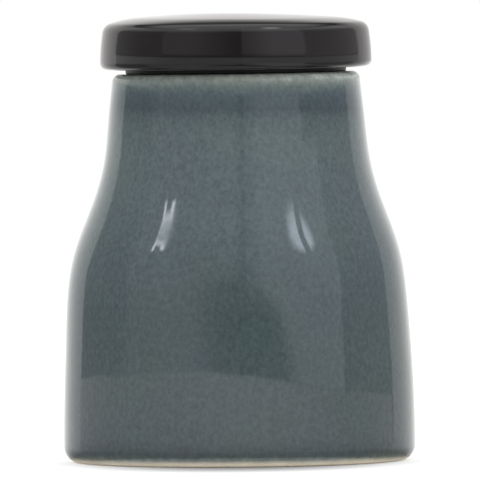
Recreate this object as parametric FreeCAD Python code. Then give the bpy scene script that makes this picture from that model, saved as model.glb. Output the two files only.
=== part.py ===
import FreeCAD, Part
import math
import os

# Round stoneware storage jar for a kitchen, with a push-in lid.
# Three pieces: the glazed jar, the glazed lid with a hollow spigot under it, and a
# silicone ring that is stretched over the spigot and seals it in the jar's mouth.
# All sizes are in millimetres and all angles in degrees. Z is up, and the origin is on
# the surface that the jar stands on, on its axis. Every piece is turned about that axis
# from one closed outline.

# Jar: widths
belly_radius = 70.0
mouth_radius = 41.8
rim_wall = 7.7
wall = 6.5
floor_thickness = 5.5

# Jar: heights, from the foot's corner upward
foot_corner_radius = 6.4
flank_rise = 39.0
upper_flank_rise = 24.0
shoulder_rise = 52.8
neck_rise = 14.8
neck_top_rise = 14.5
rim_edge_radius = 3.6

# Jar: how far the wall comes in over each of those rises
flank_inset = 0.95
upper_flank_inset = 1.6
neck_inset = 1.6
neck_top_inset = 1.5
neck_top_angle = 5.0

# Jar: the S of the shoulder, as pairs of a share of its rise and a share of its inset
shoulder_curve = ((0.28, 0.185), (0.53, 0.505), (0.77, 0.815))

# Jar: inside and underside
mouth_edge_radius = 0.9
mouth_land_height = 11.0
inner_corner_radius = 12.0
foot_ring_width = 8.0
foot_recess_depth = 2.0
foot_recess_draft = 1.2
foot_edge_radius = 0.8

# Lid: the cap
lid_overhang = 4.5
lid_low_corner_radius = 2.2
lid_side_radius = 80.0
lid_side_angle = 8.9
lid_top_corner_radius = 4.4
lid_shoulder_radius = 49.0
lid_shoulder_angle = 16.7
lid_dome_angle = 4.0

# Lid: the spigot and the hollow in it
spigot_depth = 12.0
spigot_wall = 5.5
spigot_edge_radius = 1.0
retaining_bead_height = 2.2
retaining_bead_rise = 0.8
retaining_bead_edge_radius = 0.4
hollow_height = 12.5
hollow_draft = 0.6
hollow_corner_radius = 7.0

# Silicone ring
seal_flange_thickness = 1.7
seal_flange_reach = 2.1
seal_flange_edge_radius = 0.4
seal_sleeve_thickness = 1.2
seal_end_clearance = 0.2
lip_count = 3
lip_reach = 1.3
lip_root_height = 1.2
lip_tip_height = 0.5
lip_clearance = 0.3

# Sizes that follow from the ones above
rim_radius = mouth_radius + rim_wall
neck_foot_radius = rim_radius + neck_top_inset + neck_inset
shoulder_foot_radius = belly_radius - flank_inset - upper_flank_inset
shoulder_foot_height = foot_corner_radius + flank_rise + upper_flank_rise
neck_foot_height = shoulder_foot_height + shoulder_rise
neck_top_height = neck_foot_height + neck_rise + neck_top_rise
jar_height = neck_top_height + rim_edge_radius * (1 - math.sin(math.radians(neck_top_angle)))
inside_floor_height = foot_recess_depth + floor_thickness
lid_seat_height = jar_height + seal_flange_thickness
lid_radius = rim_radius + lid_overhang
spigot_radius = mouth_radius - lip_clearance - lip_reach - seal_sleeve_thickness
spigot_end_height = lid_seat_height - spigot_depth
bead_top_height = spigot_end_height + retaining_bead_height


def at(radius, height):
    """A point of an outline, on the plane through the axis."""
    return FreeCAD.Vector(radius, 0, height)


def heading(angle):
    """The direction at an angle from outward, turning upward."""
    return at(math.cos(math.radians(angle)), math.sin(math.radians(angle)))


def line(start, end):
    """A straight edge of an outline."""
    return Part.LineSegment(start, end).toShape()


def arc_from(start, radius, start_angle, end_angle):
    """A round edge from start, which lies at start_angle from the centre, and the point where it ends."""
    centre = start - heading(start_angle) * radius
    middle = centre + heading((start_angle + end_angle) / 2) * radius
    end = centre + heading(end_angle) * radius
    return Part.Arc(start, middle, end).toShape(), end


def rounded_run(*corners):
    """Straight edges from corner to corner, each corner given as a point and the radius of its rounding.

    A rounding takes at most half of the shorter side next to it.
    """
    edges = []
    here = corners[0][0]
    for (before, _), (corner, radius), (after, _) in zip(corners, corners[1:], corners[2:]):
        back = before - corner
        ahead = after - corner
        half_angle = back.getAngle(ahead) / 2
        cut = min(radius / math.tan(half_angle), back.Length / 2, ahead.Length / 2)
        radius = cut * math.tan(half_angle)
        back.normalize()
        ahead.normalize()
        inward = (back + ahead).normalize()
        middle = corner + inward * (radius / math.sin(half_angle) - radius)
        edges.append(line(here, corner + back * cut))
        edges.append(Part.Arc(corner + back * cut, middle, corner + ahead * cut).toShape())
        here = corner + ahead * cut
    edges.append(line(here, corners[-1][0]))
    return edges


def smooth(stations, start_lean, end_lean):
    """A smooth edge up through the stations, whose ends lean in from upright by the given angles."""
    between = len(stations) - 2
    curve = Part.BSplineCurve()
    curve.interpolate(
        Points=stations,
        Tangents=[heading(90 + start_lean)] + [heading(90)] * between + [heading(90 + end_lean)],
        TangentFlags=[True] + [False] * between + [True],
    )
    return curve.toShape()


def turned(edges):
    """The solid that a closed outline makes when it is turned about the axis."""
    face = Part.Face(Part.Wire(Part.sortEdges(edges)[0]))
    solid = face.revolve(FreeCAD.Vector(0, 0, 0), FreeCAD.Vector(0, 0, 1), 360)
    if solid.Volume < 0:
        solid.reverse()
    return solid


def flank_and_shoulder(thickness):
    """The wall's stations from the flank to the foot of the neck, moved inward by a thickness."""
    shoulder_inset = shoulder_foot_radius - neck_foot_radius
    stations = [
        at(belly_radius - flank_inset, foot_corner_radius + flank_rise),
        at(shoulder_foot_radius, shoulder_foot_height),
    ]
    for rise, inset in shoulder_curve:
        radius = shoulder_foot_radius - inset * shoulder_inset
        stations.append(at(radius, shoulder_foot_height + rise * shoulder_rise))
    stations.append(at(neck_foot_radius, neck_foot_height))
    return [station - at(thickness, 0) for station in stations]


def jar_outside():
    """The jar's underside, foot, wall and rounded rim, and the point where the rim turns flat."""
    foot_outer = at(belly_radius - foot_corner_radius, 0)
    foot_inner = foot_outer - at(foot_ring_width, 0)
    underside = rounded_run(
        (at(0, foot_recess_depth), 0),
        (at(foot_inner.x - foot_recess_draft, foot_recess_depth), foot_edge_radius),
        (foot_inner, foot_edge_radius),
        (foot_outer, 0),
    )
    foot_corner, foot_top = arc_from(foot_outer, foot_corner_radius, -90, 0)
    neck_top = at(rim_radius, neck_top_height)
    neck_middle = at(rim_radius + neck_top_inset, neck_foot_height + neck_rise)
    wall_edge = smooth([foot_top, *flank_and_shoulder(0), neck_middle, neck_top], 0, neck_top_angle)
    rim_edge, rim_top = arc_from(neck_top, rim_edge_radius, neck_top_angle, 90)
    return [*underside, foot_corner, wall_edge, rim_edge], rim_top


def jar_inside(rim_top):
    """The jar's flat rim, its mouth land, and its inside down to the middle of the floor."""
    land_end = at(mouth_radius, jar_height - mouth_land_height)
    mouth = rounded_run((rim_top, 0), (at(mouth_radius, jar_height), mouth_edge_radius), (land_end, 0))
    floor_edge = at(belly_radius - wall - inner_corner_radius, inside_floor_height)
    corner, corner_top = arc_from(floor_edge, inner_corner_radius, -90, 0)
    wall_edge = smooth([corner_top, *flank_and_shoulder(wall), land_end], 0, 0)
    floor = line(floor_edge, at(0, inside_floor_height))
    return [*mouth, wall_edge, corner, floor]


def jar_body():
    """The jar, turned as one piece: thick wall, rounded rim, mouth land, and a foot ring round a recess."""
    outside, rim_top = jar_outside()
    axis = line(at(0, foot_recess_depth), at(0, inside_floor_height))
    return turned([*outside, *jar_inside(rim_top), axis])


def lid_cap():
    """The lid's outside from the edge of its seat to the top of its dome, and the point that it ends at."""
    seat_edge = at(lid_radius - lid_low_corner_radius, lid_seat_height)
    low_corner, here = arc_from(seat_edge, lid_low_corner_radius, -90, 0)
    side, here = arc_from(here, lid_side_radius, 0, lid_side_angle)
    top_corner, here = arc_from(here, lid_top_corner_radius, lid_side_angle, 90 - lid_shoulder_angle)
    shoulder, here = arc_from(here, lid_shoulder_radius, 90 - lid_shoulder_angle, 90 - lid_dome_angle)
    dome_radius = here.x / math.sin(math.radians(lid_dome_angle))
    dome, apex = arc_from(here, dome_radius, 90 - lid_dome_angle, 90)
    seat = line(at(spigot_radius, lid_seat_height), seat_edge)
    return [seat, low_corner, side, top_corner, shoulder, dome], apex


def lid():
    """The lid: a thick domed cap, and a hollow spigot whose bead keeps the silicone ring on."""
    cap, apex = lid_cap()
    hollow_radius = spigot_radius - spigot_wall
    bead_radius = spigot_radius + retaining_bead_rise
    ceiling_height = lid_seat_height + hollow_height
    spigot = rounded_run(
        (at(0, ceiling_height), 0),
        (at(hollow_radius - hollow_draft, ceiling_height), hollow_corner_radius),
        (at(hollow_radius, spigot_end_height), spigot_edge_radius),
        (at(bead_radius, spigot_end_height), spigot_edge_radius),
        (at(bead_radius, bead_top_height), retaining_bead_edge_radius),
        (at(spigot_radius, bead_top_height), 0),
    )
    groove = line(at(spigot_radius, bead_top_height), at(spigot_radius, lid_seat_height))
    axis = line(at(0, ceiling_height), apex)
    return turned([*spigot, groove, *cap, axis])


def lip(root_radius, height):
    """The outline of one wiping lip, from the top of its root round its tip to the foot of its root."""
    half_root = at(0, lip_root_height / 2)
    root = at(root_radius, height)
    tip_start = root + at(lip_reach - lip_tip_height / 2, lip_tip_height / 2)
    tip, tip_end = arc_from(tip_start, lip_tip_height / 2, 90, -90)
    return [line(root + half_root, tip_start), tip, line(tip_end, root - half_root)]


def seal_ring():
    """The silicone ring: a flange on the rim, a sleeve on the spigot, and lips that wipe the mouth."""
    flange_radius = mouth_radius + seal_flange_reach
    sleeve_radius = spigot_radius + seal_sleeve_thickness
    sleeve_end_height = bead_top_height + seal_end_clearance
    lip_pitch = (jar_height - sleeve_end_height) / lip_count

    edges = rounded_run(
        (at(spigot_radius, lid_seat_height), 0),
        (at(flange_radius, lid_seat_height), seal_flange_edge_radius),
        (at(flange_radius, jar_height), seal_flange_edge_radius),
        (at(sleeve_radius, jar_height), 0),
    )
    here = at(sleeve_radius, jar_height)
    for count in range(lip_count):
        middle_height = jar_height - (count + 0.5) * lip_pitch
        edges.append(line(here, at(sleeve_radius, middle_height + lip_root_height / 2)))
        edges.extend(lip(sleeve_radius, middle_height))
        here = at(sleeve_radius, middle_height - lip_root_height / 2)
    edges.append(line(here, at(sleeve_radius, sleeve_end_height)))
    edges.append(line(at(sleeve_radius, sleeve_end_height), at(spigot_radius, sleeve_end_height)))
    edges.append(line(at(spigot_radius, sleeve_end_height), at(spigot_radius, lid_seat_height)))
    return turned(edges)


pieces = {"jar_body": jar_body(), "lid": lid(), "seal_ring": seal_ring()}
os.makedirs("parts", exist_ok=True)
for name, solid in pieces.items():
    solid.exportStep(f"parts/{name}.step")
    state = "valid" if solid.isValid() else "NOT VALID"
    box = solid.BoundBox
    print(f"{name}: {state}, {solid.Volume / 1000:.1f} cm3, z {box.ZMin:.2f} to {box.ZMax:.2f}")
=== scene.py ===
"""Dresses a stoneware storage jar in its frame: three turned skins, their finishes, and a plain studio.

Lengths are in millimetres in the classes' fields and become metres where vertices are made. Every piece is
turned about the jar's axis, which is the frame's Z, and the jar stands on Z = 0.
"""
import logging
import math
from abc import ABC, abstractmethod
from dataclasses import dataclass
from enum import Enum
from typing import Any

import bmesh
import bpy
import numpy as np
from bpy.types import Material, NodeOutputs, NodeSocket, NodeTree, Object, World
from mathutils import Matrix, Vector, geometry, noise


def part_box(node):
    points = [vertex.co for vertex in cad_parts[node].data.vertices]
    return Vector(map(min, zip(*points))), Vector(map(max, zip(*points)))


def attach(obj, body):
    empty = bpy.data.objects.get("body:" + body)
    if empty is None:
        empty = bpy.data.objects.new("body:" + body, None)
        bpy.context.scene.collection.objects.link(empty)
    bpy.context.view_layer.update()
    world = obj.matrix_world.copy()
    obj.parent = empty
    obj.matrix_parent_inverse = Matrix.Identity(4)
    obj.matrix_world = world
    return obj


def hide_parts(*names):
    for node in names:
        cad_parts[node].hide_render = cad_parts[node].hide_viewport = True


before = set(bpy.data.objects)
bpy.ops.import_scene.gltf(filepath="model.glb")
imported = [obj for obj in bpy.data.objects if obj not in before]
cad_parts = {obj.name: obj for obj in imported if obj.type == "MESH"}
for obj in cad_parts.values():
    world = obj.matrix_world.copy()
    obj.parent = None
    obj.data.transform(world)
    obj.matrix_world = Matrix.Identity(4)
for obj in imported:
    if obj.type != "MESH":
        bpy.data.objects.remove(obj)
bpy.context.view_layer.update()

MM = 0.001
ARC_STEP = 9.0  # the most degrees that one straight piece of a round stretch spans
MERGE_REACH = 0.002  # millimetres within which the spun points are one
SHORTEST_EDGE = 0.001  # millimetres
ROUND = 181.0  # degrees that leave no gap behind the jar
FAR = 1000.0  # a height past every wall, and an elevation past every direction
log = logging.getLogger("jar")

Point = tuple[float, float]
Span = tuple[float, float]
Place = tuple[float, float, float]
Light = tuple[float, float, float]
Colour = tuple[float, float, float, float]
Stops = tuple[tuple[float, str], ...]


class Body(Enum):
    """The bodies of the frame that pieces ride on."""

    JAR = "jar"
    LID = "lid"


class Slot(Enum):
    """The record's material slots."""

    JAR_GLAZE = "jar_glaze"
    LID_GLAZE = "lid_glaze"
    SILICONE = "seal_silicone"


def linear(hex_colour: str) -> Colour:
    """Turns an sRGB hex colour into the linear colour that shaders take.

    Args:
        hex_colour: a colour such as "#5b6569".

    Returns:
        Linear red, green and blue, and an alpha of 1.
    """
    channels = [int(hex_colour[place:place + 2], 16) / 255 for place in (1, 3, 5)]
    red, green, blue = [c / 12.92 if c <= 0.04045 else ((c + 0.055) / 1.055) ** 2.4 for c in channels]
    return red, green, blue, 1.0


def per_size(size: float) -> float:
    """The scale of a texture on metres whose features are `size` millimetres across."""
    return 1 / (size * MM)


def grey(brightness: float) -> Light:
    """Light of one brightness in red, green and blue."""
    return brightness, brightness, brightness


def finished(name: str, work: bmesh.types.BMesh, material: Material) -> Object:
    """Turns a finished bmesh into an object of the scene.

    Args:
        name: the object's name.
        work: its bmesh, which is freed.
        material: its material.

    Returns:
        The object.
    """
    mesh = bpy.data.meshes.new(name)
    work.to_mesh(mesh)
    work.free()
    mesh.materials.append(material)
    piece = bpy.data.objects.new(name, mesh)
    bpy.context.scene.collection.objects.link(piece)
    return piece


@dataclass(frozen=True)
class Grain:
    """A noise pattern: the size of its features in millimetres, and how fine and rough its detail is."""

    size: float
    detail: float = 2.0
    roughness: float = 0.5

    def inputs(self, spot: NodeSocket) -> dict[str | int, Any]:
        """What the inputs of a noise texture take for this pattern at the given place."""
        return {"Vector": spot, "Scale": per_size(self.size), "Detail": self.detail, "Roughness": self.roughness}


@dataclass(frozen=True)
class Mottle:
    """A noise that makes a colour lighter and darker: its grain, the noise's ends that count, its strength."""

    grain: Grain
    ends: Span
    strength: float


class Canvas:
    """The node tree of a material or a world in the making, and the place that it colours."""

    def __init__(self, owner: Material | World, coordinates: str = "Object") -> None:
        """Starts from an empty node tree.

        Args:
            owner: the material or the world.
            coordinates: the texture coordinates that the place is in.
        """
        owner.use_nodes = True
        self.tree: NodeTree = owner.node_tree
        self.tree.nodes.clear()
        self.spot = self.add("TexCoord")[coordinates]

    def add(
        self,
        kind: str,
        inputs: dict[str | int, Any] | None = None,
        stops: Stops | None = None,
        **settings: Any,
    ) -> NodeOutputs:
        """Adds a node with its settings, and links or fills its inputs.

        Args:
            kind: the node's type name after "ShaderNode".
            inputs: what each input takes, by its name or place: an output socket, or a value.
            stops: a colour ramp's positions and sRGB hex colours.
            settings: properties of the node.

        Returns:
            The new node's outputs.
        """
        node = self.tree.nodes.new(f"ShaderNode{kind}")
        for name, value in settings.items():
            setattr(node, name, value)
        for key, value in (inputs or {}).items():
            if isinstance(value, NodeSocket):
                self.tree.links.new(value, node.inputs[key])
            else:
                node.inputs[key].default_value = value
        if stops:
            elements = node.color_ramp.elements
            while len(elements) < len(stops):
                elements.new(0.5)
            for element, (position, colour) in zip(elements, stops):
                element.position = position
                element.color = linear(colour)
        return node.outputs

    def clouded(self, grain: Grain, stops: Stops) -> NodeSocket:
        """Builds a colour that drifts from place to place, with its colours over the values of a pattern."""
        drift = self.add("TexNoise", grain.inputs(self.spot))["Fac"]
        return self.add("ValToRGB", {"Fac": drift}, stops)["Color"]

    def waver(self, grain: Grain, reach: float) -> NodeSocket:
        """Builds a value that wavers about zero from place to place.

        Args:
            grain: the pattern that it wavers in.
            reach: how far the pattern's ends lie from zero.

        Returns:
            The value's socket.
        """
        wave = self.add("TexNoise", grain.inputs(self.spot))["Fac"]
        ends = {"Value": wave, "To Min": -reach, "To Max": reach}
        return self.add("MapRange", ends, clamp=False)["Result"]

    def angle_round(self) -> NodeSocket:
        """Builds the place's angle round the jar: degrees from the camera's side, positive to the right."""
        right, back, _ = self.add("SeparateXYZ", {"Vector": self.spot})
        front = self.add("Math", {0: back, 1: -1.0}, operation="MULTIPLY")[0]
        turn = self.add("Math", {0: right, 1: front}, operation="ARCTAN2")[0]
        return self.add("Math", {0: turn}, operation="DEGREES")[0]


class Outline:
    """Half of a piece's section, drawn in millimetres from point to point on the plane through the axis."""

    def __init__(self, radius: float, height: float, spacing: float = 2.0) -> None:
        """Starts an outline.

        Args:
            radius: the first point's distance from the axis.
            height: the first point's height.
            spacing: how far apart the points of a long stretch are.
        """
        self.points: list[Point] = [(radius, height)]
        self.spacing = spacing

    @staticmethod
    def heading(angle: float) -> np.ndarray:
        """The direction at an angle in degrees from outward, turning upward."""
        return np.array([math.cos(math.radians(angle)), math.sin(math.radians(angle))])

    def line(self, radius: float, height: float) -> "Outline":
        """Draws a straight stretch to a point.

        Args:
            radius: the point's distance from the axis.
            height: the point's height.

        Returns:
            The outline itself.
        """
        start = np.array(self.points[-1])
        end = np.array([radius, height])
        pieces = max(1, round(float(np.linalg.norm(end - start)) / self.spacing))
        self.points += [tuple(start + (end - start) * count / pieces) for count in range(1, pieces + 1)]
        return self

    def arc(self, radius: float, start_angle: float, end_angle: float) -> "Outline":
        """Draws a round stretch from the last point.

        Args:
            radius: the arc's radius.
            start_angle: where the last point lies from the arc's centre, in degrees.
            end_angle: where the arc ends, in degrees.

        Returns:
            The outline itself.
        """
        centre = np.array(self.points[-1]) - self.heading(start_angle) * radius
        turn = end_angle - start_angle
        length = radius * math.radians(abs(turn))
        pieces = max(math.ceil(abs(turn) / ARC_STEP), round(length / self.spacing), 1)
        for count in range(1, pieces + 1):
            self.points.append(tuple(centre + self.heading(start_angle + turn * count / pieces) * radius))
        return self

    def rounded(self, corner: Point, radius: float, after: Point) -> "Outline":
        """Draws a straight stretch towards a corner and rounds that corner towards the next point.

        Args:
            corner: the sharp corner.
            radius: the radius of its rounding.
            after: the point that the outline heads for after the corner.

        Returns:
            The outline itself.
        """
        point = np.array(corner)
        back = np.array(self.points[-1]) - point
        ahead = np.array(after) - point
        back, ahead = back / np.linalg.norm(back), ahead / np.linalg.norm(ahead)
        half_angle = math.acos(float(np.clip(back.dot(ahead), -1, 1))) / 2
        cut = radius / math.tan(half_angle)
        inward = (back + ahead) / np.linalg.norm(back + ahead)
        centre = point + inward * radius / math.sin(half_angle)
        start, end = point + back * cut, point + ahead * cut
        start_angle, end_angle = [math.degrees(math.atan2(*(spot - centre)[::-1])) for spot in (start, end)]
        turn = (end_angle - start_angle + 180) % 360 - 180
        return self.line(*start).arc(radius, start_angle, start_angle + turn)

    def smooth(self, stations: list[Point], start_lean: float, end_lean: float) -> "Outline":
        """Draws a smooth stretch from the last point through stations.

        Its slopes are those of the cubic curve that bends least, with its pieces as long as their chords.

        Args:
            stations: the points after the last one, as radius and height.
            start_lean: how far the curve's start leans in from straight along Z, in degrees.
            end_lean: the same for its end.

        Returns:
            The outline itself.
        """
        knots = np.array([self.points[-1], *stations])
        chords = np.linalg.norm(np.diff(knots, axis=0), axis=1)
        way = math.copysign(1, knots[-1][1] - knots[0][1])
        last = len(knots) - 1
        matrix = np.zeros((last + 1, last + 1))
        wanted = np.zeros((last + 1, 2))
        matrix[0, 0] = matrix[last, last] = 1
        wanted[0] = self.heading(90 + start_lean) * way
        wanted[last] = self.heading(90 + end_lean) * way
        for place in range(1, last):
            before, after = chords[place - 1], chords[place]
            matrix[place, place - 1:place + 2] = 1 / before, 2 / before + 2 / after, 1 / after
            wanted[place] = 3 * (knots[place] - knots[place - 1]) / before ** 2
            wanted[place] += 3 * (knots[place + 1] - knots[place]) / after ** 2
        slopes = np.linalg.solve(matrix, wanted)
        for place, chord in enumerate(chords):
            start, end = knots[place], knots[place + 1]
            handles = start + slopes[place] * chord / 3, end - slopes[place + 1] * chord / 3
            curve = [Vector((*spot, 0)) for spot in (start, *handles, end)]
            pieces = max(2, round(chord / self.spacing))
            self.points += [(spot.x, spot.y) for spot in geometry.interpolate_bezier(*curve, pieces + 1)[1:]]
        return self


@dataclass(frozen=True)
class FrameSizes:
    """The sizes that the pieces share, in millimetres."""

    belly_radius: float
    rim_height: float
    lid_radius: float
    seat_height: float
    spigot_end: float
    flange_radius: float
    ring_end: float

    @classmethod
    def read(cls) -> "FrameSizes":
        """Reads the sizes from the boxes of the frame's solids."""
        jar, lid, ring = [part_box(node) for node in ("jar_body", "lid", "seal_ring")]
        return cls(
            belly_radius=jar[1].x / MM,
            rim_height=jar[1].z / MM,
            lid_radius=lid[1].x / MM,
            seat_height=ring[1].z / MM,
            spigot_end=lid[0].z / MM,
            flange_radius=ring[1].x / MM,
            ring_end=ring[0].z / MM,
        )


@dataclass(frozen=True)
class Dent:
    """A shallow flat that the maker's hand left on the wall, in millimetres and degrees round from the front."""

    azimuth: float
    height: float
    reach: float
    depth: float

    def outward(self, azimuth: float, height: float) -> float:
        """How far out the dent moves the wall at an azimuth in degrees and a height, in millimetres."""
        facing = max(math.cos(math.radians(azimuth - self.azimuth)), 0.0) ** 2
        return -self.depth * facing * math.exp(-(((height - self.height) / self.reach) ** 2))


@dataclass(frozen=True)
class Twist:
    """A shallow twist of the wall, which turns upright reflections slanting. It rises `rise` per radian."""

    azimuth: float
    height: float
    reach: float
    tall: float
    rise: float

    def outward(self, azimuth: float, height: float) -> float:
        """How far out the twist moves a place on the wall, in millimetres.

        Args:
            azimuth: the place round the jar from its front, in degrees.
            height: its height in millimetres.

        Returns:
            The distance outward.
        """
        aside = math.radians((azimuth - self.azimuth + 180) % 360 - 180)
        above = (height - self.height) / self.tall
        fade = math.exp(-((aside / math.radians(self.reach)) ** 2) + (1 - above * above) / 2)
        return self.rise * aside * above * fade


@dataclass(frozen=True)
class HandWarp:
    """The small unevenness that forming and firing left in the jar, shared by every piece so that they fit.

    The belly wanders sideways, the neck and the lid tilt, the dome leans, and the wall swells and has marks.
    """

    wander: float = -0.4
    wander_height: float = 75.0
    wander_reach: float = 17.0
    lid_shift: float = -0.25
    tilt: float = 0.4
    tilt_start: float = 112.0
    tilt_full: float = 148.0
    marks: tuple[Dent | Twist, ...] = (
        Dent(azimuth=10, height=91.6, reach=13, depth=0.85),
        Dent(azimuth=90, height=58, reach=19, depth=0.5),
        Twist(azimuth=-31, height=91, reach=20, tall=10.5, rise=1.5),
        Twist(azimuth=25, height=90, reach=20, tall=10.5, rise=-1.55),
    )
    dome_lean: float = 1.2
    dome_lean_from: float = 10.0
    dome_lean_start: float = 160.0
    dome_lean_full: float = 172.0
    dome_reach: float = 58.0
    swell: float = 0.07
    swell_size: float = 26.0
    swell_full: float = 10.0

    def moved(self, spot: Vector) -> Vector:
        """Where the unevenness moves a point of the true form.

        Args:
            spot: the point, in metres.

        Returns:
            The moved point, in metres.
        """
        height = spot.z / MM
        radius = math.hypot(spot.x, spot.y)
        share = self.eased(height, self.tilt_start, self.tilt_full)
        lean = self.eased(height, self.dome_lean_start, self.dome_lean_full)
        lean *= max(1 - (radius / MM / self.dome_reach) ** 2, 0.0)
        bulge = math.exp(-(((height - self.wander_height) / self.wander_reach) ** 2))
        stretch = 1.0
        if radius > MM:
            azimuth = math.degrees(math.atan2(spot.x, -spot.y))
            outward = sum(mark.outward(azimuth, height) for mark in self.marks)
            swell = self.swell * noise.noise(spot * per_size(self.swell_size))
            outward += swell * min(height / self.swell_full, 1.0)
            stretch += outward * MM / radius
        sideways = (self.wander * bulge + self.lid_shift * share) * MM
        tilted = spot.x * math.tan(math.radians(self.tilt)) * share
        leaned = (self.dome_lean_from * MM - spot.x) * math.tan(math.radians(self.dome_lean)) * lean
        return Vector((spot.x * stretch + sideways, spot.y * stretch, spot.z + tilted + leaned))

    @staticmethod
    def eased(height: float, start: float, full: float) -> float:
        """A share that rises smoothly from 0 at one height to 1 at another."""
        rise = min(max((height - start) / (full - start), 0.0), 1.0)
        return rise * rise * (3 - 2 * rise)


@dataclass(frozen=True)
class Finish(ABC):
    """What a piece's surface is made of: its material's name, and how it bends and scatters light."""

    name: str
    ior: float
    roughness: float

    @abstractmethod
    def patterns(self, canvas: Canvas) -> dict[str | int, Any]:
        """Builds the finish's patterns.

        Args:
            canvas: the material in the making.

        Returns:
            What the inputs of the material's shader take from them.
        """

    def material(self) -> Material:
        """Builds the finish.

        Returns:
            The material.
        """
        material = bpy.data.materials.new(self.name)
        canvas = Canvas(material)
        inputs = {"Roughness": self.roughness, "IOR": self.ior, **self.patterns(canvas)}
        shader = canvas.add("BsdfPrincipled", inputs)
        canvas.add("OutputMaterial", {"Surface": shader["BSDF"]})
        return material


@dataclass(frozen=True)
class Glaze(Finish):
    """A stoneware glaze, fired glossy and faintly rippled, that ends at a line above which it covers the clay."""

    roughness: float = 0.05
    glaze_line: float = 0.0
    line_softness: float = 0.3
    line_blend: str = "LINEAR"
    clay_roughness: float = 0.85
    ripple: Grain = Grain(12.0, detail=2.0, roughness=0.35)
    ripple_depth: float = 0.02

    def fired(
        self, canvas: Canvas, glaze: NodeSocket, clay: NodeSocket | Colour, level: NodeSocket
    ) -> dict[str | int, Any]:
        """Covers the clay with the glaze above its line, and leaves it bare and matt below.

        Args:
            canvas: the material in the making.
            glaze: the glaze's colour.
            clay: the clay's colour.
            level: the height that the line is measured at, in metres.

        Returns:
            What the inputs of the material's shader take.
        """
        low, high = [(self.glaze_line + way * self.line_softness) * MM for way in (-1, 1)]
        bare = canvas.add(
            "MapRange", {"Value": level, "From Min": low, "From Max": high, "To Min": 1.0, "To Max": 0.0},
            interpolation_type=self.line_blend,
        )["Result"]
        colour = canvas.add("Mix", {"Factor": bare, 6: glaze, 7: clay}, data_type="RGBA")[2]
        roughness = canvas.add(
            "MapRange", {"Value": bare, "To Min": self.roughness, "To Max": self.clay_roughness}
        )["Result"]
        ripple = canvas.add("TexNoise", self.ripple.inputs(canvas.spot))["Fac"]
        wavy = canvas.add("Bump", {"Height": ripple, "Distance": self.ripple_depth * MM})["Normal"]
        return {"Base Color": colour, "Roughness": roughness, "Normal": wavy}


@dataclass(frozen=True)
class Band:
    """The colour of a glaze at one height, in millimetres."""

    height: float
    colour: str


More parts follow.
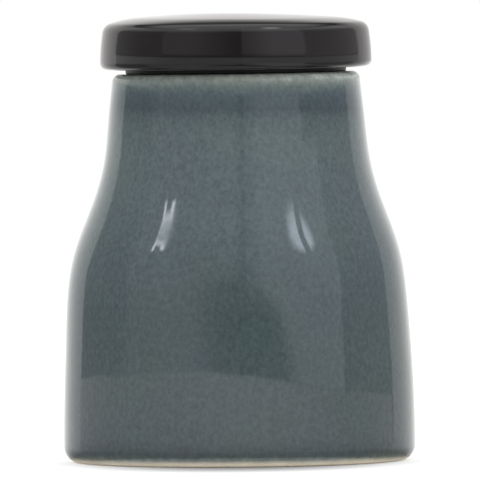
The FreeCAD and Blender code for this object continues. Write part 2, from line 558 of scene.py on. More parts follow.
@dataclass(frozen=True)
class ReactiveGlaze(Glaze):
    """Blue-grey reactive stoneware glaze, dipped and fired glossy over cream clay.

    The glass is a little cloudy, so the eye gets a mottled body colour under a clear mirror. It runs thin over
    the rim, where the clay shows pale through it, gathers in a dark band just below and again above the foot,
    and stops in a soft wavy line that leaves the foot bare. Where it pooled on the belly it is greener.
    """

    name: str = "reactive_glaze_dipped"
    ior: float = 1.56
    glaze_line: float = 1.6
    line_softness: float = 1.45
    line_blend: str = "SMOOTHSTEP"
    line_waves: Grain = Grain(11.0, detail=3.0)
    line_wave: float = 0.45
    ripple_depth: float = 0.07
    bands: tuple[Band, ...] = (
        Band(0.0, "#868a7e"), Band(2.6, "#6d736d"), Band(3.8, "#535b5b"), Band(5.2, "#495153"),
        Band(7.5, "#464f52"), Band(11.0, "#4a5457"), Band(30.0, "#4a5457"), Band(60.0, "#485356"),
        Band(82.0, "#4f5a5e"), Band(98.0, "#556064"), Band(130.0, "#566164"), Band(137.0, "#4f5a5e"),
        Band(141.0, "#414c51"), Band(146.4, "#46525a"), Band(149.6, "#5a6566"), Band(150.9, "#69736f"),
        Band(152.2, "#7f8682"), Band(153.4, "#a6aba5"), Band(154.8, "#d8dbd4"),
    )
    band_lean: float = 0.012
    drips: Grain = Grain(5.0)
    drip_length: float = 1.1
    mottle: Mottle = Mottle(Grain(1.7, detail=3.0, roughness=0.7), ends=(0.2, 0.8), strength=0.33)
    mottle_stretch: float = 0.8
    cloud: Mottle = Mottle(Grain(30.0, detail=4.0), ends=(0.3, 0.7), strength=0.05)
    tint_grain: Grain = Grain(40.0)
    tints: Stops = ((0.38, "#f8fcff"), (0.62, "#fafffa"))
    pool_centre: Place = (4.0, -68.0, 51.0)
    pool_reach: float = 25.0
    pool_tint: str = "#f1faf3"
    clay_grain: Grain = Grain(0.6, detail=3.0)
    clays: Stops = ((0.3, "#f6e8cc"), (0.65, "#fff6e6"))

    def patterns(self, canvas: Canvas) -> dict[str | int, Any]:
        """Builds the glaze's colour, and the bare clay below its wavy line.

        Args:
            canvas: the material in the making.

        Returns:
            What the inputs of the material's shader take.
        """
        coloured = canvas.add(
            "Mix", {"Factor": 1.0, 6: self.banded(canvas), 7: self.tinted(canvas)},
            data_type="RGBA", blend_type="MULTIPLY",
        )[2]
        glaze = canvas.add("HueSaturation", {"Color": coloured, "Value": self.mottled(canvas)})["Color"]
        clay = canvas.clouded(self.clay_grain, self.clays)
        shift = canvas.waver(self.line_waves, self.line_wave * MM)
        height = canvas.add("SeparateXYZ", {"Vector": canvas.spot})["Z"]
        level = canvas.add("Math", {0: height, 1: shift}, operation="ADD")[0]
        return self.fired(canvas, glaze, clay, level)

    def banded(self, canvas: Canvas) -> NodeSocket:
        """Builds the glaze's colour by height, in bands that lean a little and run down in short drips.

        Args:
            canvas: the material in the making.

        Returns:
            The colour's socket.
        """
        top = self.bands[-1].height
        right, _, height = canvas.add("SeparateXYZ", {"Vector": canvas.spot})
        lean = canvas.add(
            "Math", {0: right, 1: self.band_lean * per_size(top), 2: 1.0}, operation="MULTIPLY_ADD"
        )[0]
        leaned = canvas.add("Math", {0: height, 1: lean}, operation="MULTIPLY")[0]
        pull = canvas.waver(self.drips, self.drip_length / top)
        share = canvas.add("Math", {0: leaned, 1: per_size(top), 2: pull}, operation="MULTIPLY_ADD")[0]
        stops = tuple((band.height / top, band.colour) for band in self.bands)
        return canvas.add("ValToRGB", {"Fac": share}, stops)["Color"]

    def tinted(self, canvas: Canvas) -> NodeSocket:
        """Builds the tint over the bands: bluish here and greenish there, and greener in the pool.

        Args:
            canvas: the material in the making.

        Returns:
            The tint's socket.
        """
        away = canvas.add(
            "VectorMath", {0: canvas.spot, 1: [place * MM for place in self.pool_centre]}, operation="DISTANCE"
        )["Value"]
        pooled = canvas.add(
            "MapRange", {"Value": away, "From Max": self.pool_reach * MM, "To Min": 1.0, "To Max": 0.0},
            interpolation_type="SMOOTHERSTEP",
        )["Result"]
        tint = canvas.clouded(self.tint_grain, self.tints)
        return canvas.add("Mix", {"Factor": pooled, 6: tint, 7: linear(self.pool_tint)}, data_type="RGBA")[2]

    def mottled(self, canvas: Canvas) -> NodeSocket:
        """Builds how light the glaze is from place to place: its fine mottle times its wide clouds.

        Args:
            canvas: the material in the making.

        Returns:
            The socket of the factor, which is 1 on average.
        """
        drawn = canvas.add("Mapping", {"Vector": canvas.spot, "Scale": (1, 1, self.mottle_stretch)})["Vector"]
        tones = []
        for mottle, spot in ((self.mottle, drawn), (self.cloud, canvas.spot)):
            speckle = canvas.add("TexNoise", mottle.grain.inputs(spot))["Fac"]
            inputs = {
                "Value": speckle, "From Min": mottle.ends[0], "From Max": mottle.ends[1],
                "To Min": 1 - mottle.strength, "To Max": 1 + mottle.strength,
            }
            tones.append(canvas.add("MapRange", inputs)["Result"])
        return canvas.add("Math", {0: tones[0], 1: tones[1]}, operation="MULTIPLY")[0]


@dataclass(frozen=True)
class BlackGlaze(Glaze):
    """Glossy black stoneware glaze, dipped thick, with bare clay only where the spigot stood in the kiln.

    It is a warm brown-black mirror, so the eye sees mostly what it reflects.
    """

    name: str = "black_glaze_dipped"
    ior: float = 1.5
    glaze_line: float = 145.6
    cloud: Grain = Grain(18.0, detail=4.0)
    blacks: Stops = ((0.35, "#171516"), (0.7, "#1b1818"))
    clay: str = "#d8c9a8"

    def patterns(self, canvas: Canvas) -> dict[str | int, Any]:
        """Builds the drifting black and the bare end of the spigot."""
        height = canvas.add("SeparateXYZ", {"Vector": canvas.spot})["Z"]
        return self.fired(canvas, canvas.clouded(self.cloud, self.blacks), linear(self.clay), height)


@dataclass(frozen=True)
class Silicone(Finish):
    """Black silicone rubber, moulded, with a faint satin bloom that dulls every highlight."""

    name: str = "silicone_moulded"
    ior: float = 1.41
    roughness: float = 0.5
    bloom: Grain = Grain(2.0, detail=4.0)
    blacks: Stops = ((0.4, "#141314"), (0.7, "#1d1c1d"))

    def patterns(self, canvas: Canvas) -> dict[str | int, Any]:
        """Builds the bloom on the rubber."""
        return {"Base Color": canvas.clouded(self.bloom, self.blacks)}


@dataclass
class TurnedPiece(ABC):
    """A piece turned about the axis from one outline, which replaces one plain solid of the frame."""

    name: str
    node: str
    body: Body
    slot: Slot
    finish: Finish
    sizes: FrameSizes
    warp: HandWarp
    segments: int = 240

    @abstractmethod
    def outline(self) -> Outline:
        """The piece's outline, from the axis round to the axis again, or closed on itself."""

    def spun(self) -> bmesh.types.BMesh:
        """Spins the outline about the axis and closes it.

        Returns:
            The piece's form, in metres, with its faces outward and smooth.
        """
        work = bmesh.new()
        corners = [work.verts.new((radius * MM, 0, height * MM)) for radius, height in self.outline().points]
        edges = [work.edges.new(pair) for pair in zip(corners, corners[1:])]
        bmesh.ops.spin(
            work, geom=[*corners, *edges], cent=(0, 0, 0), axis=(0, 0, 1),
            angle=math.tau, steps=self.segments, use_merge=True, use_duplicate=False,
        )
        bmesh.ops.remove_doubles(work, verts=work.verts[:], dist=MERGE_REACH * MM)
        bmesh.ops.dissolve_degenerate(work, edges=work.edges[:], dist=SHORTEST_EDGE * MM)
        bmesh.ops.recalc_face_normals(work, faces=work.faces[:])
        for vertex in work.verts:
            vertex.co = self.warp.moved(vertex.co)
        for face in work.faces:
            face.smooth = True
        open_edges = sum(1 for edge in work.edges if not edge.is_manifold)
        log.info("%s: %d open edges", self.name, open_edges)
        return work

    def build(self) -> Object:
        """Makes the piece, dresses it and puts it on its body.

        Returns:
            The finished piece.
        """
        piece = finished(self.name, self.spun(), self.finish.material())
        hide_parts(self.node)
        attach(piece, self.body.value)
        return piece


@dataclass
class JarBody(TurnedPiece):
    """The jar: thick wall, S-shaped shoulder, rounded rim, mouth land, and a bare foot ring round a recess."""

    mouth_radius: float = 41.8
    rim_radius: float = 49.5
    wall: float = 6.5
    floor_height: float = 7.5
    foot_corner_radius: float = 6.4
    foot_ring_width: float = 8.0
    foot_edge_radius: float = 0.3
    recess_depth: float = 2.0
    recess_draft: float = 1.2
    rim_edge_radius: float = 3.6
    rim_lean: float = 5.0
    mouth_edge_radius: float = 0.9
    land_height: float = 11.0
    inner_corner_radius: float = 12.0
    wall_stations: tuple[Point, ...] = (
        (69.05, 45.4), (67.45, 69.4), (64.7, 84.18), (59.94, 97.38), (55.34, 110.06), (52.6, 122.2),
    )
    neck_station: Point = (51.0, 137.0)

    def outline(self) -> Outline:
        """The jar's outline, from the middle of its underside over the rim to the middle of its floor."""
        belly, rim = self.sizes.belly_radius, self.sizes.rim_height
        foot_outer = belly - self.foot_corner_radius
        foot_inner = foot_outer - self.foot_ring_width
        lean = math.radians(self.rim_lean)
        neck_top = (self.rim_radius, rim - self.rim_edge_radius * (1 - math.sin(lean)))
        ledge = self.rim_radius - self.rim_edge_radius * math.cos(lean)
        land_end = (self.mouth_radius, rim - self.land_height)
        ceiling = (foot_inner - self.recess_draft, self.recess_depth)
        outline = Outline(0, self.recess_depth)
        outline.rounded(ceiling, self.foot_edge_radius, (foot_inner, 0))
        outline.rounded((foot_inner, 0), self.foot_edge_radius, (foot_outer, 0))
        outline.line(foot_outer, 0).arc(self.foot_corner_radius, -90, 0)
        outline.smooth([*self.wall_stations, self.neck_station, neck_top], 0, self.rim_lean)
        outline.arc(self.rim_edge_radius, self.rim_lean, 90).line(ledge, rim)
        outline.rounded((self.mouth_radius, rim), self.mouth_edge_radius, land_end)
        outline.line(*land_end)
        inner_wall = [(radius - self.wall, height) for radius, height in reversed(self.wall_stations)]
        corner_top = (belly - self.wall, self.floor_height + self.inner_corner_radius)
        outline.smooth([*inner_wall, corner_top], 0, 0)
        outline.arc(self.inner_corner_radius, 0, -90)
        return outline.line(0, self.floor_height)


@dataclass
class Lid(TurnedPiece):
    """The lid: a thick domed cap, and a hollow spigot whose bead keeps the silicone ring on."""

    low_corner_radius: float = 2.2
    side_radius: float = 80.0
    side_angle: float = 8.9
    top_corner_radius: float = 4.4
    shoulder_radius: float = 49.0
    shoulder_angle: float = 16.7
    dome_angle: float = 4.0
    spigot_radius: float = 39.0
    spigot_wall: float = 5.5
    spigot_edge_radius: float = 1.0
    bead_rise: float = 0.8
    bead_height: float = 2.2
    bead_edge_radius: float = 0.4
    hollow_height: float = 12.5
    hollow_draft: float = 0.6
    hollow_corner_radius: float = 7.0

    def outline(self) -> Outline:
        """The lid's outline, from the middle of its hollow over the spigot and the cap to the top of its dome."""
        seat, end = self.sizes.seat_height, self.sizes.spigot_end
        hollow = self.spigot_radius - self.spigot_wall
        bead = self.spigot_radius + self.bead_rise
        ceiling = seat + self.hollow_height
        bead_top = end + self.bead_height
        outline = Outline(0, ceiling)
        outline.rounded((hollow - self.hollow_draft, ceiling), self.hollow_corner_radius, (hollow, end))
        outline.rounded((hollow, end), self.spigot_edge_radius, (bead, end))
        outline.rounded((bead, end), self.spigot_edge_radius, (bead, bead_top))
        outline.rounded((bead, bead_top), self.bead_edge_radius, (self.spigot_radius, bead_top))
        outline.line(self.spigot_radius, bead_top).line(self.spigot_radius, seat)
        outline.line(self.sizes.lid_radius - self.low_corner_radius, seat)
        outline.arc(self.low_corner_radius, -90, 0).arc(self.side_radius, 0, self.side_angle)
        outline.arc(self.top_corner_radius, self.side_angle, 90 - self.shoulder_angle)
        outline.arc(self.shoulder_radius, 90 - self.shoulder_angle, 90 - self.dome_angle)
        dome_radius = outline.points[-1][0] / math.sin(math.radians(self.dome_angle))
        return outline.arc(dome_radius, 90 - self.dome_angle, 90)


@dataclass
class SealRing(TurnedPiece):
    """The silicone ring: a flange that shows between rim and lid, a sleeve, and lips that wipe the mouth."""

    inner_radius: float = 39.0
    flange_thickness: float = 1.7
    edge_radius: float = 0.4
    sleeve_thickness: float = 1.2
    lip_count: int = 3
    lip_reach: float = 1.3
    lip_root: float = 1.2
    lip_tip: float = 0.5

    def outline(self) -> Outline:
        """The ring's closed outline, from its inner top edge round the flange, the lips and the sleeve."""
        top, end, flange = self.sizes.seat_height, self.sizes.ring_end, self.sizes.flange_radius
        sleeve = self.inner_radius + self.sleeve_thickness
        flange_foot = top - self.flange_thickness
        pitch = (flange_foot - end) / self.lip_count
        outline = Outline(self.inner_radius, top)
        outline.rounded((flange, top), self.edge_radius, (flange, flange_foot))
        outline.rounded((flange, flange_foot), self.edge_radius, (sleeve, flange_foot))
        outline.line(sleeve, flange_foot)
        for count in range(self.lip_count):
            middle = flange_foot - (count + 0.5) * pitch
            outline.line(sleeve, middle + self.lip_root / 2)
            outline.line(sleeve + self.lip_reach - self.lip_tip / 2, middle + self.lip_tip / 2)
            outline.arc(self.lip_tip / 2, 90, -90)
            outline.line(sleeve, middle - self.lip_root / 2)
        return outline.line(sleeve, end).line(self.inner_radius, end).line(self.inner_radius, top)


class LightPattern:
    """Adds up the light of cards and lamps in a node tree."""

    def __init__(self, canvas: Canvas, up: NodeSocket, base: Light) -> None:
        """Starts a pattern.

        Args:
            canvas: the tree that it is built in.
            up: the place up, in the measure that the cards are in.
            base: the light where there is no card.
        """
        self.canvas = canvas
        self.across = canvas.angle_round()
        self.up = up
        self.total: Any = base

    def overlap(self, *masks: NodeSocket) -> NodeSocket:
        """Builds the mask that is 1 where all the given ones are.

        Args:
            masks: the masks.

        Returns:
            The mask's socket.
        """
        together = masks[0]
        for mask in masks[1:]:
            together = self.canvas.add("Math", {0: together, 1: mask}, operation="MULTIPLY")[0]
        return together

    def outside(self, mask: NodeSocket) -> NodeSocket:
        """Builds the mask that is 1 where the given one is 0."""
        return self.canvas.add("Math", {0: 1.0, 1: mask}, operation="SUBTRACT")[0]

    def add(self, name: str, light: Light, *masks: NodeSocket) -> None:
        """Adds light where all the given masks hold.

        Args:
            name: what gives the light, which labels its node.
            light: its brightness and colour.
            masks: the masks.
        """
        self.total = self.canvas.add(
            "VectorMath", {0: light, 1: self.overlap(*masks), 2: self.total},
            operation="MULTIPLY_ADD", label=name,
        )["Vector"]


@dataclass(frozen=True)
class Card:
    """A surface that the glazes mirror: a window across and up, with soft and perhaps leaning sides.

    Across is in degrees round the jar from the camera's side, positive to the right. Up is in millimetres of
    height on a wall of cards, or in degrees of elevation in the room beyond it. Each pair is for the left and
    the right side, or the lower and the upper one. A card without light only shades or opens what is behind.
    """

    name: str
    across: Span = (-ROUND, ROUND)
    up: Span = (-FAR, FAR)
    light: Light = (0.0, 0.0, 0.0)
    across_soft: Span = (1.0, 1.0)
    up_soft: Span = (1.0, 1.0)
    leans: Span = (0.0, 0.0)

    def mask(self, pattern: LightPattern) -> NodeSocket:
        """Builds the mask that is 1 inside the card and falls off softly at its sides.

        Args:
            pattern: the pattern that the mask is for.

        Returns:
            The mask's socket.
        """
        steps = []
        for along, sides, softs, leans in (
            (pattern.across, self.across, self.across_soft, self.leans),
            (pattern.up, self.up, self.up_soft, (0.0, 0.0)),
        ):
            for side, soft, lean, way in zip(sides, softs, leans, (1, -1)):
                place = along
                if lean:
                    place = pattern.canvas.add(
                        "Math", {0: pattern.up, 1: -lean, 2: along}, operation="MULTIPLY_ADD"
                    )[0]
                inputs = {"Value": place, "From Min": side - way * soft / 2, "From Max": side + way * soft / 2}
                step = pattern.canvas.add("MapRange", inputs, interpolation_type="SMOOTHSTEP")
                steps.append(step["Result"])
        return pattern.overlap(*steps)


@dataclass(frozen=True)
class RoundLamp:
    """A round lamp that mirrors see in the room, its place and size in degrees."""

    name: str
    centre: Point
    radius: float
    soft: float
    light: Light

    def mask(self, pattern: LightPattern) -> NodeSocket:
        """Builds the mask that is 1 inside the lamp and falls off softly at its edge.

        Args:
            pattern: the pattern that the mask is for.

        Returns:
            The mask's socket.
        """
        add = pattern.canvas.add
        spot = add("CombineXYZ", {"X": pattern.across, "Y": pattern.up})["Vector"]
        offset = add("VectorMath", {0: spot, 1: (*self.centre, 0)}, operation="SUBTRACT")["Vector"]
        narrowing = (math.cos(math.radians(self.centre[1])), 1, 1)
        squeezed = add("VectorMath", {0: offset, 1: narrowing}, operation="MULTIPLY")["Vector"]
        away = add("VectorMath", {0: squeezed}, operation="LENGTH")["Value"]
        inputs = {
            "Value": away, "From Min": self.radius - self.soft, "From Max": self.radius,
            "To Min": 1.0, "To Max": 0.0,
        }
        return add("MapRange", inputs, interpolation_type="SMOOTHSTEP")["Result"]


@dataclass(frozen=True)
class CardWall:
    """A round wall of cards about the jar that only mirrors see, closed but for its opening.

    Its cards' heights are measured along `slant`, so the whole row of them may lean.
    """

    name: str
    radius: float
    low: float
    high: float
    slant: Place
    glow: Light
    opening: Card
    cards: tuple[Card, ...]
    flags: tuple[Card, ...] = ()


SWEEP_UP, SWEEP_SOFT = (-20, 296), (66, 80)

TENT = CardWall(
    "tent", radius=200.0, low=-150.0, high=380.0, slant=(0.021, 0.045, 1.0), glow=grey(0.14),
    opening=Card("opening", up=(147, FAR), up_soft=(8, 1)),
    cards=(
        Card("table", (-111, 103), (-15, 32.2), grey(0.52), up_soft=(60, 1.5)),
        Card("table in front", (-50, 50), (-60, 32.2), grey(0.25), (60, 60), (90, 1.5)),
        Card("left side", (-111, -66), (32.2, 330), grey(0.14), (1.5, 12), (1.5, 80), (0, -0.04)),
        Card("left card, lower", (-66, -16), (32.2, 118), grey(0.38), (12, 22), (1.5, 50), (-0.04, 0)),
        Card("left card, middle", (-50, -24), (32.2, 118), grey(0.09), (10, 10), (1.5, 50)),
        Card("left card, upper", (-66, 1.5), (118, 330), grey(0.35), (12, 8), (50, 80), (-0.04, 0)),
        Card("right card, lower", (37, 60.5), (32.2, 98), (0.72, 0.76, 0.82), (14, 1.5), (1.5, 50), (-0.2, 0.035)),
        Card("right card, upper edge", (5.5, 60.5), (98, 330), (0.29, 0.3, 0.33), (2, 1.5), (50, 80), (0, 0.035)),
        Card("right card, upper", (13, 60.5), (98, 330), (0.4, 0.43, 0.46), (14, 1.5), (50, 80), (0, 0.035)),
        Card("right side", (60.5, 103), (32.2, 330), grey(0.24), (1.5, 1.5), (1.5, 80), (0.035, 0.035)),
        Card("left sweep", (-ROUND, -111), SWEEP_UP, (0.73, 0.73, 0.72), (1, 1.5), SWEEP_SOFT),
        Card("left sweep behind", (-ROUND, -131), SWEEP_UP, (0.45, 0.45, 0.44), (1, 40), SWEEP_SOFT),
        Card("right sweep", (103, ROUND), SWEEP_UP, (0.7, 0.7, 0.69), (1.5, 1), SWEEP_SOFT, (0.035, 0)),
        Card("right sweep behind", (127, ROUND), SWEEP_UP, (0.45, 0.45, 0.44), (40, 1), SWEEP_SOFT),
    ),
)

COLLAR = CardWall(
    "collar", radius=100.0, low=133.0, high=245.0, slant=(0.007, 0.0, 1.0), glow=grey(0.08),
    opening=Card("opening", up=(-FAR, 156), up_soft=(1, 2)),
    flags=(Card("beside the neck", (45.5, 62), (137, 157), across_soft=(1.5, 1), up_soft=(4, 1)),),
    cards=(
        Card("table", (-97, 100), (156, 163.6), grey(0.5), (3, 4), (2, 1.2)),
        Card("table at the left", (-97, -52), (156, 163.6), grey(0.16), (3, 30), (2, 1.2)),
        Card("table at the right", (3.5, 100), (156, 163.6), grey(0.08), (1, 4), (2, 1.2)),
        Card("beside the neck", (45.5, 62), (137, 156), grey(0.3), (1.5, 1), (4, 2)),
        Card("left side", (-96, -49), (164, FAR), (0.21, 0.2, 0.2), (4, 1.5), (1.5, 1)),
        Card("left side, outer", (-96, -78), (164, FAR), grey(0.13), (4, 40), (1.5, 1)),
        Card("left card", (-49, -12), (165.5, FAR), (0.4, 0.38, 0.39), (1.5, 44), (4, 1)),
        Card("right card, inner", (3.5, 46), (166, FAR), (0.31, 0.29, 0.31), (1.5, 2), (5, 1)),
        Card("right card", (14, 46), (164.5, FAR), (0.46, 0.43, 0.46), (24, 2), (2, 1)),
        Card("right side", (46, 100), (164, FAR), (0.42, 0.4, 0.4), (1, 4), (1.5, 1)),
        Card("left sweep", (-ROUND, -96), (156, 238), (0.86, 0.84, 0.83), (1, 4), (2, 60)),
        Card("right sweep", (100, ROUND), (156, 238), (0.86, 0.84, 0.83), (4, 1), (2, 60)),
        Card("left sweep, nearer", (-170, -96), (156, 262), grey(0.16), (20, 4), (2, 60)),
        Card("glow above", (-98, 100), (205, FAR), grey(0.75), (4, 4), (30, 1)),
    ),
)


@dataclass
class Studio:
    """A pale floor, walls of grey and white cards close round the jar, lamps above them, and the camera."""

    floor_front: float = -1200.0
    floor_back: float = 2600.0
    floor_half_width: float = 1500.0
    floor_colour: str = "#fbfbfb"
    floor_lift: float = 0.4
    # A painted shadow on the floor that only the camera sees: its centre, how much it narrows across, the distance
    # where it has faded out, the distance within which it is full, how much it darkens the floor, and how much
    # white lift is left near the jar.
    painted_shadow_centre: Place = (0.0, -38.0, 0.0)
    painted_shadow_narrowing: float = 1.22
    painted_shadow_start: float = 104.0
    painted_shadow_full: float = 26.0
    painted_contact_shade: float = 0.72
    contact_fill: float = 0.1
    wall_segments: int = 96
    room_light: Light = grey(0.8)
    room_glow: Light = grey(0.14)
    room_cards: tuple[Card, ...] = (
        Card("ceiling", up=(50, FAR), light=grey(1.1), up_soft=(20, 1)),
        Card("floor", up=(-FAR, -40), light=grey(0.8), up_soft=(1, 30)),
    )
    left_lamp: tuple[Card, ...] = (
        Card("left lamp", (-67, -47.3), (30.1, 49.3), (0.95, 1.02, 1.1), (1.5, 6), (1.2, 4), (0, -0.2)),
        Card("left lamp, edge", (-67, -50.5), (30.1, 33.4), (6.8, 7.1, 7.4), (1.5, 4), (1.2, 3.4), (0, -0.2)),
        Card("left lamp, end", (-67, -48.5), (43.5, 49.3), (0.95, 1.0, 1.05), (1.5, 5), (6, 4), (0, -0.2)),
    )
    left_lamp_flags: tuple[Card, ...] = (
        Card("notch", (-65.4, -60.2), (-FAR, 32.3), across_soft=(2, 2), up_soft=(1, 1.8)),
        Card("cut corner", (-62, -48), (-FAR, 31.3), up_soft=(1, 1.2)),
        Card("second cut", (-56.8, -48), (-FAR, 32.4), across_soft=(2, 1), up_soft=(1, 1.8)),
    )
    right_lamp: RoundLamp = RoundLamp("right lamp", (52.7, 41.1), 11.8, 4.2, (3.7, 4.2, 4.7))
    right_lamp_pole: Card = Card("pole", (51.8, 56.4))
    upper_lamps: tuple[RoundLamp, ...] = (
        RoundLamp("upper right lamp", (50.0, 62.0), 9.0, 7.0, (4.0, 4.1, 4.2)),
        RoundLamp("upper left lamp", (-62.0, 52.0), 13.0, 11.0, grey(2.2)),
    )
    camera_distance: float = 6450.0
    camera_height: float = 265.0
    aim_height: float = 87.93
    aim_right: float = 0.82
    frame_width: float = 191.0
    camera_roll: float = -0.5
    sensor_width: float = 36.0

    def build(self) -> None:
        """Builds the floor, the walls of cards, the room, the lamps and the camera."""
        self.build_floor()
        for wall in (TENT, COLLAR):
            self.build_wall(wall)
        self.build_room()
        self.hang_lamp("left_lamp", azimuth=-60, elevation=38, light=2.6)
        self.hang_lamp("right_lamp", azimuth=48, elevation=40, light=3.2)
        self.build_camera()

    def build_floor(self) -> None:
        """Lays the pale floor. It keeps the jar's rendered shadow, has a painted shadow falling forward of the
        jar, and is white away from it.

        The painted shade and the lift to white are only for the camera, so the floor lights the jar as plain pale
        paper.
        """
        work = bmesh.new()
        bmesh.ops.create_grid(work, x_segments=1, y_segments=1, size=0.5)
        depth = self.floor_back - self.floor_front
        middle = (self.floor_back + self.floor_front) / 2
        bmesh.ops.scale(work, vec=(2 * self.floor_half_width * MM, depth * MM, 1), verts=work.verts[:])
        bmesh.ops.translate(work, vec=(0, middle * MM, 0), verts=work.verts[:])
        material = bpy.data.materials.new("floor_sheet")
        canvas = Canvas(material)
        seen = canvas.add("LightPath")["Is Camera Ray"]
        narrowed = canvas.add(
            "VectorMath", {0: canvas.spot, 1: (self.painted_shadow_narrowing, 1, 1)}, operation="MULTIPLY"
        )["Vector"]
        away = canvas.add(
            "VectorMath", {0: narrowed, 1: [place * MM for place in self.painted_shadow_centre]}, operation="DISTANCE"
        )["Value"]
        clear = canvas.add(
            "MapRange",
            {"Value": away, "From Min": self.painted_shadow_full * MM, "From Max": self.painted_shadow_start * MM},
            interpolation_type="SMOOTHSTEP",
        )["Result"]
        # Painted shadow: near the jar the camera sees the floor's colour darkened, on top of its rendered shadow.
        near = canvas.add("Math", {0: 1.0, 1: clear}, operation="SUBTRACT")[0]
        painted_shade = canvas.add("Math", {0: seen, 1: self.painted_contact_shade}, operation="MULTIPLY")[0]
        painted_shadow_share = canvas.add("Math", {0: near, 1: painted_shade}, operation="MULTIPLY")[0]
        sheet = canvas.add(
            "Mix", {"Factor": painted_shadow_share, 6: linear(self.floor_colour), 7: (0, 0, 0, 1)}, data_type="RGBA"
        )[2]
        # The white lift is weaker near the jar, which deepens the painted shadow there.
        fill = canvas.add(
            "MapRange", {"Value": clear, "To Min": self.contact_fill, "To Max": self.floor_lift}
        )["Result"]
        lift = canvas.add("Math", {0: seen, 1: fill}, operation="MULTIPLY")[0]
        matt = canvas.add("BsdfDiffuse", {"Color": sheet})["BSDF"]
        glow = canvas.add("Emission", {"Color": (1, 1, 1, 1), "Strength": lift})["Emission"]
        both = canvas.add("AddShader", {0: matt, 1: glow})["Shader"]
        canvas.add("OutputMaterial", {"Surface": both})
        floor = finished("floor", work, material)
        floor.visible_glossy = False

    def build_wall(self, wall: CardWall) -> None:
        """Puts up a round wall that only mirrors see and that the room shows through at its opening.

        Args:
            wall: its size and its cards.
        """
        work = bmesh.new()
        radius, depth = wall.radius * MM, (wall.high - wall.low) * MM
        bmesh.ops.create_cone(
            work, cap_ends=False, segments=self.wall_segments, radius1=radius, radius2=radius, depth=depth
        )
        bmesh.ops.translate(work, vec=(0, 0, wall.low * MM + depth / 2), verts=work.verts[:])
        material = bpy.data.materials.new(f"{wall.name}_cards")
        canvas = Canvas(material)
        slant = [share / MM for share in wall.slant]
        up = canvas.add("VectorMath", {0: canvas.spot, 1: slant}, operation="DOT_PRODUCT")["Value"]
        pattern = LightPattern(canvas, up, grey(0.0))
        beside = [pattern.outside(flag.mask(pattern)) for flag in wall.flags]
        clear = pattern.overlap(wall.opening.mask(pattern), *beside)
        pattern.add("glow", wall.glow, pattern.outside(clear))
        for card in wall.cards:
            pattern.add(card.name, card.light, card.mask(pattern))
        glow = canvas.add("Emission", {"Color": pattern.total})["Emission"]
        gap = canvas.add("BsdfTransparent", {"Color": clear})["BSDF"]
        both = canvas.add("AddShader", {0: glow, 1: gap})["Shader"]
        canvas.add("OutputMaterial", {"Surface": both})
        material.cycles.emission_sampling = "NONE"
        screen = finished(wall.name, work, material)
        screen.visible_camera = screen.visible_diffuse = screen.visible_shadow = False

    def build_room(self) -> None:
        """Builds the room: white to the camera, soft light to matt surfaces, dark with lamps to mirrors."""
        world = bpy.data.worlds.new("studio")
        bpy.context.scene.world = world
        canvas = Canvas(world, "Generated")
        sine = canvas.add("SeparateXYZ", {"Vector": canvas.spot})["Z"]
        rise = canvas.add("Math", {0: sine}, operation="ARCSINE")[0]
        up = canvas.add("Math", {0: rise}, operation="DEGREES")[0]
        pattern = LightPattern(canvas, up, self.room_glow)
        left_masks = [pattern.outside(flag.mask(pattern)) for flag in self.left_lamp_flags]
        right_mask = pattern.outside(self.right_lamp_pole.mask(pattern))
        lights = [
            *((card, ()) for card in self.room_cards),
            *((card, left_masks) for card in self.left_lamp),
            (self.right_lamp, (right_mask,)),
            *((lamp, ()) for lamp in self.upper_lamps),
        ]
        for light, masks in lights:
            pattern.add(light.name, light.light, light.mask(pattern), *masks)
        path = canvas.add("LightPath")
        unseen = canvas.add(
            "Mix", {"Factor": path["Is Glossy Ray"], 6: (*self.room_light, 1), 7: pattern.total},
            data_type="RGBA",
        )[2]
        colour = canvas.add(
            "Mix", {"Factor": path["Is Camera Ray"], 6: unseen, 7: (1, 1, 1, 1)}, data_type="RGBA"
        )[2]
        background = canvas.add("Background", {"Color": colour})["Background"]
        canvas.add("OutputWorld", {"Surface": background})

    def hang_lamp(
        self, name: str, azimuth: float, elevation: float, light: float,
        size: float = 0.7, distance: float = 1.6, target: float = 0.09,
    ) -> None:
        """Hangs the soft glow of one lamp, aimed at the shoulder. Mirrors see the lamp itself in the room.

        Args:
            name: the lamp's name.
            azimuth: its place round the jar from the camera's side, in degrees, positive to the right.
            elevation: its elevation in degrees.
            light: how bright its face is.
            size: its width and height, in metres.
            distance: its distance from the shoulder, in metres.
            target: the shoulder's height, in metres.
        """
        lamp = bpy.data.lights.new(name, "AREA")
        lamp.shape = "SQUARE"
        lamp.size = size
        lamp.energy = light * math.pi * size * size
        turn, rise = math.radians(azimuth), math.radians(elevation)
        way = Vector((math.sin(turn) * math.cos(rise), -math.cos(turn) * math.cos(rise), math.sin(rise)))
        holder = bpy.data.objects.new(name, lamp)
        holder.location = Vector((0, 0, target)) + way * distance
        holder.rotation_euler = (-way).to_track_quat("-Z", "Y").to_euler()
        holder.visible_camera = holder.visible_glossy = False
        bpy.context.scene.collection.objects.link(holder)

    def build_camera(self) -> None:
        """Sets the camera low and far away, rolled a little, as the photograph's was."""
        data = bpy.data.cameras.new("camera")
        camera = bpy.data.objects.new("camera", data)
        bpy.context.scene.collection.objects.link(camera)
        place = Vector((self.aim_right, -self.camera_distance, self.camera_height)) * MM
        aim = Vector((self.aim_right, 0, self.aim_height)) * MM
        data.sensor_width = self.sensor_width
        data.lens = self.sensor_width * (aim - place).length / (self.frame_width * MM)
        camera.location = place
        camera.rotation_euler = (aim - place).to_track_quat("-Z", "Y").to_euler()
        camera.rotation_euler.rotate_axis("Z", math.radians(self.camera_roll))
        bpy.context.scene.camera = camera


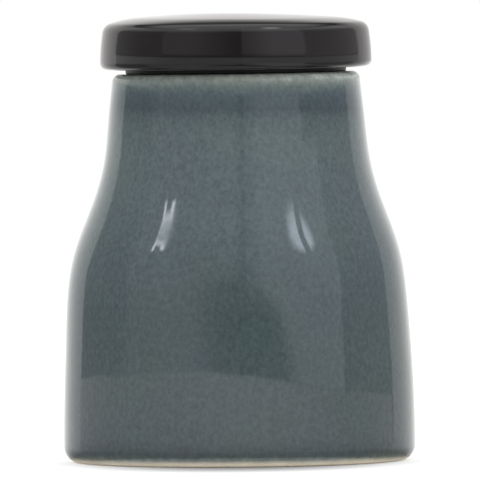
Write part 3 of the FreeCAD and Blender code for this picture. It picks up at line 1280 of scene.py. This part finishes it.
def main() -> None:
    """Builds the pieces and the studio, and reports each one."""
    logging.basicConfig(level=logging.INFO, format="%(name)s: %(message)s")
    sizes, warp = FrameSizes.read(), HandWarp()
    pieces = (
        JarBody("jar_skin", "jar_body", Body.JAR, Slot.JAR_GLAZE, ReactiveGlaze(), sizes, warp),
        Lid("lid_skin", "lid", Body.LID, Slot.LID_GLAZE, BlackGlaze(), sizes, warp),
        SealRing("seal_skin", "seal_ring", Body.LID, Slot.SILICONE, Silicone(), sizes, warp, segments=180),
    )
    for piece in pieces:
        made = piece.build()
        triangles = sum(len(face.vertices) - 2 for face in made.data.polygons)
        log.info("%s: %d triangles, on %s", made.name, triangles, piece.body.value)
    Studio().build()
    bpy.context.scene.view_settings.view_transform = "Standard"


if __name__ == "__main__":
    main()
